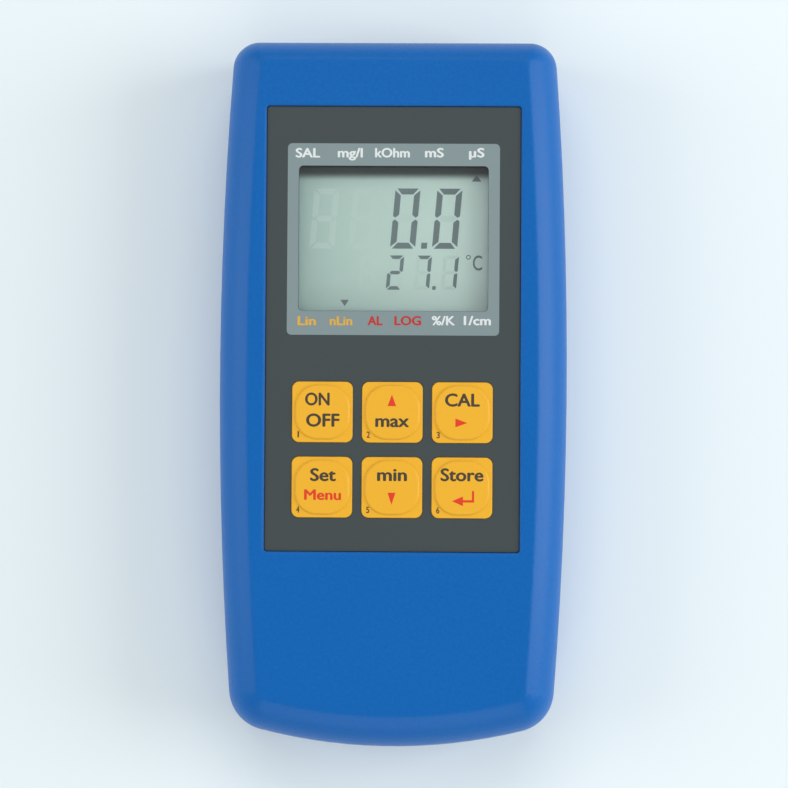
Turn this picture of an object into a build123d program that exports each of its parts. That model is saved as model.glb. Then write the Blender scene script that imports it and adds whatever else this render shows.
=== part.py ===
from build123d import *

import os
from math import asin, cos, degrees, hypot, radians, sin, sqrt

# A handheld conductivity meter that lies on its back. +Z points out of the display face, +Y points to
# the socket end and +X to the right of the display. The origin is in the plane that the back rests on,
# under the middle of the case. All sizes are in millimetres.

# Case: plan outline
CASE_LENGTH = 142.0
CASE_WIDTH = 70.2
SIDE_BOW_RADIUS = 860.0
SIDE_BOW_CENTRE = 3.5
END_BOW_RADIUS = 108.0
TOP_CORNER_RADIUS = 5.5
BOTTOM_CORNER_RADIUS = 8.5
SMALLEST_CORNER = 1.2

# Case: section
CASE_DEPTH = 26.0
PARTING_HEIGHT = 10.6
WALL = 2.2
SHOULDER_WIDTH = 6.3
TOP_SHOULDER_WIDTH = 4.4
BOTTOM_SHOULDER_WIDTH = 7.1
SHOULDER_SWEEP = 70.0
BACK_ROUNDING = 4.5
LIP_HEIGHT = 1.5
OUTER_BANDS = 7
INNER_BANDS = 2

# Clearances
SEAT_GAP = 0.1
SLIDE_GAP = 0.15
FIT_GAP = 0.03
CUT_MARGIN = 5.0

# Front panel film and the pocket that it lies in
PANEL_WIDTH = 50.3
PANEL_LENGTH = 88.2
PANEL_CENTRE_Y = 12.7
PANEL_CORNER_RADIUS = 0.6
PANEL_POCKET_DEPTH = 0.8
FILM_THICKNESS = 0.5
FACE_PLATE_THICKNESS = 2.0

# Display
WINDOW_WIDTH = 37.6
WINDOW_LENGTH = 28.8
WINDOW_CORNER_RADIUS = 0.9
DISPLAY_CENTRE_Y = 30.6
PANE_BORDER = 1.6
PANE_THICKNESS = 1.35
SIGHT_BORDER = 0.7
GLASS_BORDER = 4.2
GLASS_THICKNESS = 2.8
GLASS_SINK = 0.4
FRAME_WALL = 1.3
FRAME_LIP = 0.35
CONTACT_STRIP_WIDTH = 2.0
CONTACT_STRIP_INSET = 1.0

# Keys: two rows of three caps that press snap domes under the film
KEY_NAMES = ["on_off", "max", "cal", "set", "min", "store"]
KEYS_PER_ROW = 3
KEY_SIZE = 12.0
KEY_CORNER_RADIUS = 1.4
KEY_PITCH_X = 13.85
KEY_PITCH_Y = 14.87
KEY_ROW_Y = -3.9
KEY_TRAVEL = 0.35
KEY_BORDER_PROUD = 0.12
KEY_CROWN_RISE = 0.36
KEY_CROWN_INSET = 0.6
KEY_CROWN_CORNER = 4.4
KEY_CROWN_CHAMFER = 0.25
KEY_FLANGE_MARGIN = 0.6
KEY_FLANGE_THICKNESS = 0.3
KEY_NUB_RADIUS = 1.2
SPACER_THICKNESS = 0.8
CIRCUIT_THICKNESS = 0.4
KEYPAD_MARGIN = 3.0
DOME_RADIUS = 4.0
DOME_CROWN_RADIUS = 2.4
DOME_RISE = 0.42
DOME_THICKNESS = 0.12
TAIL_WIDTH = 10.0
TAIL_THICKNESS = 0.3
TAIL_LENGTH = 3.6
PLUG_SEAT_WALL = 1.2

# Circuit board and what it carries
BOARD_THICKNESS = 1.6
BOARD_WIDTH = 59.0
BOARD_LOW_Y = -26.6
BOARD_SHOULDER_Y = 55.9
BOARD_NECK_WIDTH = 43.0
BOARD_END_GAP = 0.9
BOARD_CORNER_RADIUS = 1.0
CHIP_SIZE = 12.0
CHIP_THICKNESS = 1.4
CHIP_CENTRE = (-8.0, 24.0)
CHIP_PINS_PER_SIDE = 6
CHIP_PIN_REACH = 1.0
CHIP_PIN_WIDTH = 0.5
AMPLIFIER_SIZE = (5.0, 4.0, 1.5)
AMPLIFIER_CENTRES = [(12.0, 44.0), (3.0, 44.0)]
CRYSTAL_LENGTH = 11.0
CRYSTAL_WIDTH = 4.6
CRYSTAL_HEIGHT = 3.4
CRYSTAL_CENTRE = (-8.0, 10.0)
CAPACITOR_RADIUS = 3.1
CAPACITOR_HEIGHT = 5.6
CAPACITOR_CENTRES = [(14.0, 30.0), (14.0, 21.0)]
BUZZER_RADIUS = 6.0
BUZZER_HEIGHT = 7.5
BUZZER_HOLE_RADIUS = 1.0
BUZZER_CENTRE = (15.0, -6.0)

# Sockets, all with their axes in the parting plane
PROBE_SOCKET_X = 11.0
PROBE_SOCKET_WIDTH = 14.0
PROBE_SOCKET_LENGTH = 12.8
PROBE_SHIELD_RADIUS = 4.85
PROBE_SHIELD_WALL = 0.3
PROBE_INSERT_RADIUS = 3.6
PROBE_CAVITY_DEPTH = 9.0
PROBE_CONTACTS = 7
PROBE_CONTACT_RING = 2.2
PROBE_CONTACT_RADIUS = 0.45
PROBE_CONTACT_BORE = 0.25
PROBE_HOLE_RADIUS = 5.3
JACK_X = -12.5
JACK_WIDTH = 8.0
JACK_LENGTH = 13.0
JACK_NOSE_RADIUS = 3.0
JACK_BORE_RADIUS = 1.8
JACK_BORE_DEPTH = 14.0
JACK_NOSE_SHY = 0.4
POWER_SOCKET_Y = 28.0
POWER_SOCKET_WIDTH = 9.0
POWER_SOCKET_LENGTH = 14.0
POWER_CAVITY_RADIUS = 2.9
POWER_CAVITY_DEPTH = 9.5
POWER_PIN_RADIUS = 0.95
POWER_HOLE_RADIUS = 4.0
SOCKET_HEIGHT = 11.0
SOCKET_WALL_GAP = 0.3

# Battery, its connector and its leads
BATTERY_LENGTH = 45.8
BATTERY_WIDTH = 26.5
BATTERY_DEPTH = 17.5
BATTERY_ROUNDING = 2.0
BATTERY_LOW_Z = 3.7
BATTERY_TOP_Y = -37.0
BATTERY_LEFT_X = -25.9
TERMINAL_PITCH = 12.7
TERMINAL_HEIGHT = 2.7
SMALL_TERMINAL_RADIUS = 2.9
LARGE_TERMINAL_RADIUS = 4.3
TERMINAL_BORE_RADIUS = 3.0
SNAP_THICKNESS = 2.4
SNAP_LENGTH = 25.0
SNAP_WIDTH = 13.0
SNAP_ROUNDING = 4.0
LEAD_RADIUS = 0.6
LEAD_SPACING = 2.6
LEAD_SWAY = 1.6

# Battery bay and its cover
BAY_HALF_WIDTH = 26.3
BAY_WALL = 1.6
BAY_WALL_TOP = 18.0
BAY_END_WALL = 1.2
BAY_LOW_Y = -64.0
RAIL_BLOCK_HEIGHT = 3.3
COVER_HALF_WIDTH = 26.0
COVER_THICKNESS = 2.0
COVER_TOP_Y = -36.6
COVER_TRAVEL = 26.0
COVER_TONGUE = 1.4
COVER_TONGUE_TOP_Y = -38.0
COVER_TONGUE_HEIGHT = 0.95
COVER_GRIPS = 6
COVER_GRIP_PITCH = 1.8
COVER_GRIP_WIDTH = 0.9
COVER_GRIP_DEPTH = 0.5
COVER_GRIP_SPAN = 16.0
COVER_GRIP_CENTRE_Y = -58.0
CATCH_HALF_WIDTH = 7.0
CATCH_ROOT = 4.0
CATCH_REACH = 5.0
CATCH_THICKNESS = 0.9
CATCH_LIFT = 0.3
CATCH_BUMP_RADIUS = 0.5
HOLD_RIB_X = 12.0
HOLD_RIB_THICKNESS = 1.2

# Fold-out stand clip on the back
CLIP_WIDTH = 33.0
CLIP_TIP_WIDTH = 29.0
CLIP_REACH = 52.0
CLIP_THICKNESS = 2.8
CLIP_SKIN = 1.3
CLIP_RIM = 1.6
CLIP_TIP_RADIUS = 5.0
CLIP_SHY = 0.1
CLIP_AXIS_Y = 66.5
CLIP_BARREL_RADIUS = 1.75
CLIP_SIDE_GAP = 0.4
CLIP_ROOF_GAP = 0.4
CLIP_PIN_RADIUS = 0.8
CLIP_PIN_HOLD = 2.5
CLIP_TRAY_WALL = 1.4
HANG_HOLE_RADIUS = 4.5
HANG_SLOT_WIDTH = 4.6
HANG_SLOT_REACH = 8.0
HANG_HOLE_Y = 31.0
THUMB_HALF_WIDTH = 8.0
THUMB_LENGTH = 7.5

# Screws
CASE_SCREW_PLACES = [(-26.5, 60.0), (26.5, 60.0), (-27.5, -30.5), (27.5, -30.5)]
CASE_SCREW_RADIUS = 1.3
CASE_SCREW_TIP_Z = 16.0
CASE_SCREW_HEAD_RADIUS = 2.6
CASE_SCREW_HEAD_LOW_Z = 1.2
CASE_SCREW_HEAD_HEIGHT = 1.9
CASE_POST_RADIUS = 3.3
CASE_POST_TOP_Z = 9.0
BOARD_SCREW_PLACES = [(x, y) for y in (53.4, 5.4, -21.0) for x in (-26.4, 26.4)]
BOARD_SCREW_RADIUS = 1.0
BOARD_SCREW_LENGTH = 4.5
BOARD_SCREW_HEAD_RADIUS = 2.0
BOARD_SCREW_HEAD_HEIGHT = 1.5
BOARD_POST_RADIUS = 2.3
DRIVE_SPAN = 2.2
DRIVE_SLOT = 0.6
DRIVE_DEPTH = 0.8

# Heights that follow from the sizes above
SHOULDER_RADIUS = SHOULDER_WIDTH / (1 - cos(radians(SHOULDER_SWEEP)))
SHOULDER_FOOT_Z = CASE_DEPTH - SHOULDER_RADIUS * sin(radians(SHOULDER_SWEEP))
PANEL_FLOOR_Z = CASE_DEPTH - PANEL_POCKET_DEPTH
FILM_TOP_Z = PANEL_FLOOR_Z + FILM_THICKNESS
INNER_FACE_Z = PANEL_FLOOR_Z - FACE_PLATE_THICKNESS
SPACER_LOW_Z = PANEL_FLOOR_Z - SPACER_THICKNESS
KEYPAD_FLOOR_Z = SPACER_LOW_Z - CIRCUIT_THICKNESS
GLASS_TOP_Z = INNER_FACE_Z - SEAT_GAP - GLASS_SINK
GLASS_LOW_Z = GLASS_TOP_Z - GLASS_THICKNESS
BOARD_TOP_Z = PARTING_HEIGHT + SOCKET_HEIGHT / 2 + BOARD_THICKNESS
BOARD_LOW_Z = PARTING_HEIGHT + SOCKET_HEIGHT / 2

# Places that follow from the sizes above
KEY_CENTRES = [
    ((column - (KEYS_PER_ROW - 1) / 2) * KEY_PITCH_X, KEY_ROW_Y - row * KEY_PITCH_Y)
    for row in range(len(KEY_NAMES) // KEYS_PER_ROW)
    for column in range(KEYS_PER_ROW)
]
KEYPAD_CENTRE_Y = (KEY_CENTRES[0][1] + KEY_CENTRES[-1][1]) / 2
KEYPAD_WIDTH = KEY_CENTRES[-1][0] - KEY_CENTRES[0][0] + KEY_SIZE + 2 * KEYPAD_MARGIN
KEYPAD_LENGTH = KEY_CENTRES[0][1] - KEY_CENTRES[-1][1] + KEY_SIZE + 2 * KEYPAD_MARGIN
TAIL_Y = KEYPAD_CENTRE_Y - KEYPAD_LENGTH / 2 + 1.5
SOCKET_FACE_Y = CASE_LENGTH / 2 - WALL - SOCKET_WALL_GAP
CLIP_AXIS_Z = CLIP_SHY + CLIP_BARREL_RADIUS
CLIP_RECESS_Z = CLIP_SHY + CLIP_THICKNESS + CLIP_ROOF_GAP
HINGE_RECESS_Z = CLIP_AXIS_Z + CLIP_BARREL_RADIUS + CLIP_ROOF_GAP
BATTERY_END_X = BATTERY_LEFT_X + BATTERY_LENGTH
BATTERY_CENTRE_Y = BATTERY_TOP_Y - BATTERY_WIDTH / 2
BATTERY_CENTRE_Z = BATTERY_LOW_Z + BATTERY_DEPTH / 2
SNAP_LOW_X = BATTERY_END_X + TERMINAL_HEIGHT


def block(x_span, y_span, z_span):
    """Box between two ends on each axis."""
    sizes = [high - low for low, high in (x_span, y_span, z_span)]
    middles = [(high + low) / 2 for low, high in (x_span, y_span, z_span)]
    return Pos(*middles) * Box(*sizes)


def plate(width, length, corner, low, high, centre=(0.0, 0.0)):
    """Flat plate with rounded corners, between two heights."""
    outline = RectangleRounded(width, length, corner)
    return extrude(Pos(centre[0], centre[1], low) * outline, high - low)


def post(x, y, radius, low, high):
    """Upright round post between two heights."""
    return Pos(x, y, (low + high) / 2) * Cylinder(radius, high - low)


def rod_y(x, z, radius, low, high):
    """Round rod along Y."""
    return Pos(x, (low + high) / 2, z) * Rot(90, 0, 0) * Cylinder(radius, high - low)


def rod_x(y, z, radius, low, high):
    """Round rod along X."""
    return Pos((low + high) / 2, y, z) * Rot(0, 90, 0) * Cylinder(radius, high - low)


def lower_corner(side_radius, end_radius):
    """Point where the right side's bow meets the bowed lower end."""
    side_x = CASE_WIDTH / 2 - SIDE_BOW_RADIUS
    end_y = END_BOW_RADIUS - CASE_LENGTH / 2
    apart = hypot(side_x, end_y - SIDE_BOW_CENTRE)
    along_x, along_y = -side_x / apart, (end_y - SIDE_BOW_CENTRE) / apart
    along = (side_radius**2 - end_radius**2 + apart**2) / (2 * apart)
    across = sqrt(side_radius**2 - along**2)
    return (
        side_x + along * along_x + across * along_y,
        SIDE_BOW_CENTRE + along * along_y - across * along_x,
    )


def case_outline(height, side, top, bottom):
    """Plan outline of the case at a height, drawn in at the sides, the top end and the lower end."""
    side_x = CASE_WIDTH / 2 - SIDE_BOW_RADIUS
    side_radius = SIDE_BOW_RADIUS - side
    end_radius = END_BOW_RADIUS - bottom
    top_y = CASE_LENGTH / 2 - top
    top_x = side_x + sqrt(side_radius**2 - (top_y - SIDE_BOW_CENTRE) ** 2)
    low_x, low_y = lower_corner(side_radius, end_radius)
    widest = side_x + side_radius
    edges = [
        ThreePointArc((low_x, low_y), (widest, SIDE_BOW_CENTRE), (top_x, top_y)),
        Line((top_x, top_y), (-top_x, top_y)),
        ThreePointArc((-top_x, top_y), (-widest, SIDE_BOW_CENTRE), (-low_x, low_y)),
        ThreePointArc((-low_x, low_y), (0, bottom - CASE_LENGTH / 2), (low_x, low_y)),
    ]
    low_radius = max(SMALLEST_CORNER, BOTTOM_CORNER_RADIUS - (side + bottom) / 2)
    top_radius = max(SMALLEST_CORNER, TOP_CORNER_RADIUS - (side + top) / 2)
    face = make_face(edges)
    face = fillet(face.vertices().sort_by(Axis.Y)[:2], low_radius)
    face = fillet(face.vertices().sort_by(Axis.Y)[-2:], top_radius)
    return Pos(0, 0, height) * face


def straight_form(inset, low, high):
    """Upright part of the case, drawn in all round."""
    return extrude(case_outline(low, inset, inset, inset), high - low)


def front_form(wall, low, high, bands):
    """Front half of the case: an upright skirt and the round shoulders that run up to the face."""
    reach = SHOULDER_RADIUS - wall
    sweep = degrees(asin((high - SHOULDER_FOOT_Z) / reach))
    sections = []
    for step in range(bands + 1):
        angle = radians(sweep * step / bands)
        drawn_in = reach * (1 - cos(angle))
        top = wall + drawn_in * TOP_SHOULDER_WIDTH / SHOULDER_WIDTH
        bottom = wall + drawn_in * BOTTOM_SHOULDER_WIDTH / SHOULDER_WIDTH
        height = SHOULDER_FOOT_Z + reach * sin(angle)
        sections.append(case_outline(height, wall + drawn_in, top, bottom))
    return straight_form(wall, low, SHOULDER_FOOT_Z) + loft(sections, ruled=True)


def back_form(wall, high, bands):
    """Back half of the case: a flat back with a rounded edge and an upright skirt."""
    reach = BACK_ROUNDING - wall
    sections = []
    for step in range(bands + 1):
        angle = radians(90 * step / bands)
        inset = wall + reach * (1 - cos(angle))
        sections.append(case_outline(BACK_ROUNDING - reach * sin(angle), inset, inset, inset))
    return loft(sections, ruled=True) + straight_form(wall, BACK_ROUNDING, high)


def socket_holes():
    """Round holes through both half shells where the three sockets look out."""
    end_y = CASE_LENGTH / 2
    inside_y = SOCKET_FACE_Y - SOCKET_WALL_GAP
    probe = rod_y(PROBE_SOCKET_X, PARTING_HEIGHT, PROBE_HOLE_RADIUS, inside_y, end_y + CUT_MARGIN)
    jack = rod_y(JACK_X, PARTING_HEIGHT, JACK_NOSE_RADIUS + SLIDE_GAP, inside_y, end_y + CUT_MARGIN)
    side_x = -CASE_WIDTH / 2
    power = rod_x(
        POWER_SOCKET_Y, PARTING_HEIGHT, POWER_HOLE_RADIUS, side_x - CUT_MARGIN, side_x + 2 * WALL
    )
    return probe + jack + power


def front_shell():
    """Moulded front half: shoulders, panel pocket, window rebate, keypad pocket and screw posts."""
    shell = front_form(0, PARTING_HEIGHT, CASE_DEPTH, OUTER_BANDS)
    shell -= front_form(WALL, PARTING_HEIGHT - CUT_MARGIN, INNER_FACE_Z, INNER_BANDS)
    lip_low = PARTING_HEIGHT - LIP_HEIGHT
    lip = straight_form(WALL / 2 + SLIDE_GAP / 2, lip_low, PARTING_HEIGHT + LIP_HEIGHT)
    lip -= straight_form(WALL, lip_low - CUT_MARGIN, PARTING_HEIGHT + CUT_MARGIN)
    shell += lip
    root_z = INNER_FACE_Z + FACE_PLATE_THICKNESS / 4
    for x, y in CASE_SCREW_PLACES:
        shell += post(x, y, CASE_POST_RADIUS, CASE_POST_TOP_Z + SEAT_GAP, root_z)
        shell -= post(x, y, CASE_SCREW_RADIUS + FIT_GAP, 0, CASE_SCREW_TIP_Z + 1)
    for x, y in BOARD_SCREW_PLACES:
        shell += post(x, y, BOARD_POST_RADIUS, BOARD_TOP_Z, root_z)
        tip = BOARD_LOW_Z + BOARD_SCREW_LENGTH
        shell -= post(x, y, BOARD_SCREW_RADIUS + FIT_GAP, BOARD_LOW_Z, tip + SEAT_GAP)
    rib_low = BATTERY_LOW_Z + BATTERY_DEPTH + SEAT_GAP
    rib_ends = (BATTERY_TOP_Y - BATTERY_WIDTH + 1, BATTERY_TOP_Y - 1)
    for x in (-HOLD_RIB_X, HOLD_RIB_X):
        shell += block(
            (x - HOLD_RIB_THICKNESS / 2, x + HOLD_RIB_THICKNESS / 2), rib_ends, (rib_low, root_z)
        )
    shell -= plate(
        PANEL_WIDTH + 2 * SLIDE_GAP, PANEL_LENGTH + 2 * SLIDE_GAP, PANEL_CORNER_RADIUS,
        PANEL_FLOOR_Z, CASE_DEPTH + CUT_MARGIN, (0, PANEL_CENTRE_Y),
    )
    shell -= plate(
        WINDOW_WIDTH + 2 * (PANE_BORDER + SEAT_GAP), WINDOW_LENGTH + 2 * (PANE_BORDER + SEAT_GAP),
        WINDOW_CORNER_RADIUS, PANEL_FLOOR_Z - PANE_THICKNESS - SEAT_GAP / 2, CASE_DEPTH,
        (0, DISPLAY_CENTRE_Y),
    )
    shell -= plate(
        WINDOW_WIDTH + 2 * SIGHT_BORDER, WINDOW_LENGTH + 2 * SIGHT_BORDER, WINDOW_CORNER_RADIUS,
        INNER_FACE_Z - CUT_MARGIN / 5, CASE_DEPTH, (0, DISPLAY_CENTRE_Y),
    )
    shell -= plate(
        KEYPAD_WIDTH + 2 * SLIDE_GAP, KEYPAD_LENGTH + 2 * SLIDE_GAP, KEY_CORNER_RADIUS,
        KEYPAD_FLOOR_Z, CASE_DEPTH, (0, KEYPAD_CENTRE_Y),
    )
    slot_half = TAIL_THICKNESS / 2 + SLIDE_GAP
    shell -= block(
        (-TAIL_WIDTH / 2 - SLIDE_GAP, TAIL_WIDTH / 2 + SLIDE_GAP),
        (TAIL_Y - slot_half, TAIL_Y + slot_half),
        (INNER_FACE_Z - CUT_MARGIN / 5, CASE_DEPTH),
    )
    return shell - socket_holes()


def clip_outline(margin):
    """Plan of the clip from its hinge to its rounded, slightly narrower free end, grown by a margin."""
    half = CLIP_WIDTH / 2 + margin
    tip_half = CLIP_TIP_WIDTH / 2 + margin
    tip_y = CLIP_AXIS_Y - CLIP_REACH - margin
    face = make_face(Polyline(
        (-half, CLIP_AXIS_Y), (half, CLIP_AXIS_Y), (tip_half, tip_y), (-tip_half, tip_y), close=True
    ))
    return fillet(face.vertices().sort_by(Axis.Y)[:2], CLIP_TIP_RADIUS + margin)


def clip_recess():
    """Room for the folded clip: its bed, the hinge notch through the end wall and the thumb hollow."""
    bed = extrude(Pos(0, 0, -CUT_MARGIN) * clip_outline(CLIP_SIDE_GAP), CUT_MARGIN + CLIP_RECESS_Z)
    half = CLIP_WIDTH / 2 + CLIP_SIDE_GAP
    notch_low = CLIP_AXIS_Y - CLIP_BARREL_RADIUS - 2 * CLIP_ROOF_GAP
    notch = block(
        (-half, half), (notch_low, CASE_LENGTH / 2 + CUT_MARGIN), (-CUT_MARGIN, HINGE_RECESS_Z)
    )
    thumb_top = CLIP_AXIS_Y - CLIP_REACH + CLIP_TIP_RADIUS
    thumb_low = CLIP_AXIS_Y - CLIP_REACH - CLIP_SIDE_GAP - THUMB_LENGTH
    thumb = block(
        (-THUMB_HALF_WIDTH, THUMB_HALF_WIDTH), (thumb_low, thumb_top), (-CUT_MARGIN, CLIP_RECESS_Z)
    )
    thumb = fillet(thumb.edges().filter_by(Axis.Z).sort_by(Axis.Y)[:2], THUMB_LENGTH / 2)
    return bed + notch + thumb


def clip_tray():
    """Wall of the back shell round the clip recess, inside the case."""
    half = CLIP_WIDTH / 2 + CLIP_SIDE_GAP + CLIP_TRAY_WALL
    low_y = CLIP_AXIS_Y - CLIP_REACH - CLIP_SIDE_GAP - THUMB_LENGTH - CLIP_TRAY_WALL
    return block(
        (-half, half), (low_y, CASE_LENGTH / 2 - WALL / 2), (WALL / 2, CLIP_RECESS_Z + CLIP_TRAY_WALL)
    )


def bay_walls():
    """Side walls, end wall and cover rails of the battery bay."""
    outer_half = BAY_HALF_WIDTH + BAY_WALL
    outer_top = BATTERY_TOP_Y + SEAT_GAP * 3 + BAY_END_WALL
    ring = block((-outer_half, outer_half), (BAY_LOW_Y, outer_top), (WALL / 2, BAY_WALL_TOP))
    rails = block(
        (-outer_half - BAY_WALL, outer_half + BAY_WALL), (BAY_LOW_Y - 1, outer_top),
        (WALL / 2, RAIL_BLOCK_HEIGHT),
    )
    room = block(
        (-BAY_HALF_WIDTH, BAY_HALF_WIDTH), (BAY_LOW_Y - 1, BATTERY_TOP_Y + SEAT_GAP * 3),
        (0, BAY_WALL_TOP + CUT_MARGIN),
    )
    return (ring + rails) - room


def cover_opening():
    """Way of the battery cover out of the back, with the grooves for its two tongues."""
    end_y = -CASE_LENGTH / 2 - CUT_MARGIN
    mouth_half = COVER_HALF_WIDTH + SLIDE_GAP
    mouth = block(
        (-mouth_half, mouth_half), (end_y, COVER_TOP_Y + SLIDE_GAP),
        (-CUT_MARGIN, COVER_THICKNESS + SEAT_GAP),
    )
    groove_half = COVER_HALF_WIDTH + COVER_TONGUE + 2 * SLIDE_GAP
    groove = block(
        (-groove_half, groove_half), (end_y, COVER_TONGUE_TOP_Y + SLIDE_GAP),
        (COVER_TONGUE_HEIGHT - SEAT_GAP / 2, COVER_THICKNESS + SEAT_GAP),
    )
    catch_half = CATCH_HALF_WIDTH + 2 * SLIDE_GAP
    catch = block(
        (-catch_half, catch_half), (BATTERY_TOP_Y - 1, BATTERY_TOP_Y + BAY_END_WALL + 1),
        (WALL, WALL + CATCH_LIFT * 2 + CATCH_THICKNESS),
    )
    dimple_y = COVER_TOP_Y + CATCH_REACH - CATCH_BUMP_RADIUS * 2
    dimple = rod_x(dimple_y, WALL + CATCH_LIFT, CATCH_BUMP_RADIUS + SLIDE_GAP, -catch_half, catch_half)
    bay_floor = block(
        (-BAY_HALF_WIDTH, BAY_HALF_WIDTH), (BAY_LOW_Y, BATTERY_TOP_Y + 3 * SEAT_GAP),
        (COVER_THICKNESS, WALL + 1),
    )
    catch_way = block(
        (-catch_half, catch_half),
        (COVER_TOP_Y - CATCH_ROOT - COVER_TRAVEL - SLIDE_GAP, BAY_LOW_Y + 1),
        (COVER_THICKNESS, WALL + CATCH_LIFT * 2 + CATCH_THICKNESS),
    )
    return mouth + groove + catch + dimple + bay_floor + catch_way


def lead_notch():
    """Notch in the bay's end wall that lets the battery leads through."""
    middle = SNAP_LOW_X + SNAP_THICKNESS / 2 - LEAD_SWAY / 3
    half = 3 * LEAD_RADIUS
    return block(
        (middle - half, middle + half), (BATTERY_TOP_Y - 1, BATTERY_TOP_Y + BAY_END_WALL + 1),
        (BATTERY_CENTRE_Z - LEAD_SPACING, BAY_WALL_TOP + 1),
    )


def back_shell():
    """Moulded back half: clip recess, battery bay, cover rails, screw posts and pin seats."""
    outer = back_form(0, PARTING_HEIGHT, OUTER_BANDS)
    shell = outer - back_form(WALL, PARTING_HEIGHT + CUT_MARGIN, INNER_BANDS)
    inside = back_form(WALL / 2, PARTING_HEIGHT, INNER_BANDS)
    shell -= straight_form(
        WALL / 2, PARTING_HEIGHT - LIP_HEIGHT - SEAT_GAP, PARTING_HEIGHT + CUT_MARGIN
    )
    shell += (clip_tray() & inside) + bay_walls()
    for x, y in CASE_SCREW_PLACES:
        shell += post(x, y, CASE_POST_RADIUS, WALL / 2, CASE_POST_TOP_Z)
        shell -= post(x, y, CASE_SCREW_RADIUS + SLIDE_GAP, 0, CASE_POST_TOP_Z + 1)
        seat_z = CASE_SCREW_HEAD_LOW_Z + CASE_SCREW_HEAD_HEIGHT
        shell -= post(x, y, CASE_SCREW_HEAD_RADIUS + SLIDE_GAP, -1, seat_z)
    pin_half = CLIP_WIDTH / 2 + CLIP_PIN_HOLD
    pin_bore = rod_x(CLIP_AXIS_Y, CLIP_AXIS_Z, CLIP_PIN_RADIUS + FIT_GAP, -pin_half, pin_half)
    lugs = block(
        (-pin_half - CLIP_TRAY_WALL, pin_half + CLIP_TRAY_WALL),
        (CLIP_AXIS_Y - 2 * CLIP_BARREL_RADIUS, CASE_LENGTH / 2 - WALL / 2),
        (WALL / 2, HINGE_RECESS_Z + CLIP_TRAY_WALL / 2),
    )
    shell += lugs & inside
    shell -= clip_recess() + pin_bore + cover_opening() + lead_notch()
    return shell - socket_holes()


def window_plate(border, low, high, corner):
    """Plate centred on the display, larger than the visible window by a border."""
    return plate(
        WINDOW_WIDTH + 2 * border, WINDOW_LENGTH + 2 * border, corner, low, high, (0, DISPLAY_CENTRE_Y)
    )


def panel_film():
    """Printed front film with the window cut-out and an opening for each key."""
    film = plate(
        PANEL_WIDTH, PANEL_LENGTH, PANEL_CORNER_RADIUS, PANEL_FLOOR_Z, FILM_TOP_Z, (0, PANEL_CENTRE_Y)
    )
    film -= window_plate(0, PANEL_FLOOR_Z - 1, FILM_TOP_Z + 1, WINDOW_CORNER_RADIUS)
    hole = KEY_SIZE + 2 * SEAT_GAP
    for centre in KEY_CENTRES:
        film -= plate(hole, hole, KEY_CORNER_RADIUS + SEAT_GAP, PANEL_FLOOR_Z - 1, FILM_TOP_Z + 1, centre)
    return film


def display_pane():
    """Clear pane bonded into the rebate under the film."""
    low = PANEL_FLOOR_Z - PANE_THICKNESS - SEAT_GAP / 2
    return window_plate(PANE_BORDER, low, low + PANE_THICKNESS, WINDOW_CORNER_RADIUS)


def display_glass():
    """Liquid crystal cell: a rear glass and a slightly shorter front glass."""
    step = GLASS_THICKNESS / 2
    rear = window_plate(GLASS_BORDER, GLASS_LOW_Z, GLASS_LOW_Z + step, WINDOW_CORNER_RADIUS / 3)
    front = window_plate(
        GLASS_BORDER - CONTACT_STRIP_INSET / 2, GLASS_LOW_Z + step, GLASS_TOP_Z, WINDOW_CORNER_RADIUS / 3
    )
    return rear + front


def display_frame():
    """Moulded frame that holds the cell and the contact strips on the board."""
    top = GLASS_TOP_Z + SEAT_GAP / 2 + FRAME_LIP
    room = GLASS_BORDER + 2 * SEAT_GAP
    frame = window_plate(room + FRAME_WALL, BOARD_TOP_Z, top, WINDOW_CORNER_RADIUS)
    frame -= window_plate(room, BOARD_TOP_Z - 1, GLASS_TOP_Z + SEAT_GAP / 2, WINDOW_CORNER_RADIUS / 3)
    frame -= window_plate(SIGHT_BORDER + SEAT_GAP, BOARD_TOP_Z, top + 1, WINDOW_CORNER_RADIUS)
    return frame


def contact_strips():
    """Two elastomer strips that join the board's pads to the edge of the cell."""
    half = WINDOW_WIDTH / 2 + SIGHT_BORDER
    far = WINDOW_LENGTH / 2 + GLASS_BORDER - CONTACT_STRIP_INSET
    strips = []
    for side in (-1, 1):
        ends = sorted([
            DISPLAY_CENTRE_Y + side * far,
            DISPLAY_CENTRE_Y + side * (far - CONTACT_STRIP_WIDTH),
        ])
        strips.append(block((-half, half), ends, (BOARD_TOP_Z, GLASS_LOW_Z)))
    return Compound(strips)


def key_cap(centre):
    """Key cap: a flange under the film, a thin border and an embossed crown, hollow over its dome."""
    border_top = FILM_TOP_Z + KEY_BORDER_PROUD
    flange_top = PANEL_FLOOR_Z - SEAT_GAP / 2
    flange_low = flange_top - KEY_FLANGE_THICKNESS
    flange_size = KEY_SIZE + 2 * KEY_FLANGE_MARGIN
    crown_size = KEY_SIZE - 2 * KEY_CROWN_INSET
    cap = plate(KEY_SIZE, KEY_SIZE, KEY_CORNER_RADIUS, flange_low, border_top, centre)
    cap += plate(flange_size, flange_size, KEY_CORNER_RADIUS, flange_low, flange_top, centre)
    crown = plate(
        crown_size, crown_size, KEY_CROWN_CORNER, border_top, border_top + KEY_CROWN_RISE, centre
    )
    crown = chamfer(crown.faces().sort_by(Axis.Z)[-1].edges(), KEY_CROWN_CHAMFER)
    hollow_top = flange_low + DOME_RISE
    hollow = post(*centre, DOME_RADIUS + 2 * SLIDE_GAP, flange_low - 1, hollow_top)
    nub_low = SPACER_LOW_Z + DOME_RISE + DOME_THICKNESS + SEAT_GAP / 2
    hollow -= post(*centre, KEY_NUB_RADIUS, nub_low, hollow_top + 1)
    return cap + crown - hollow


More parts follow.
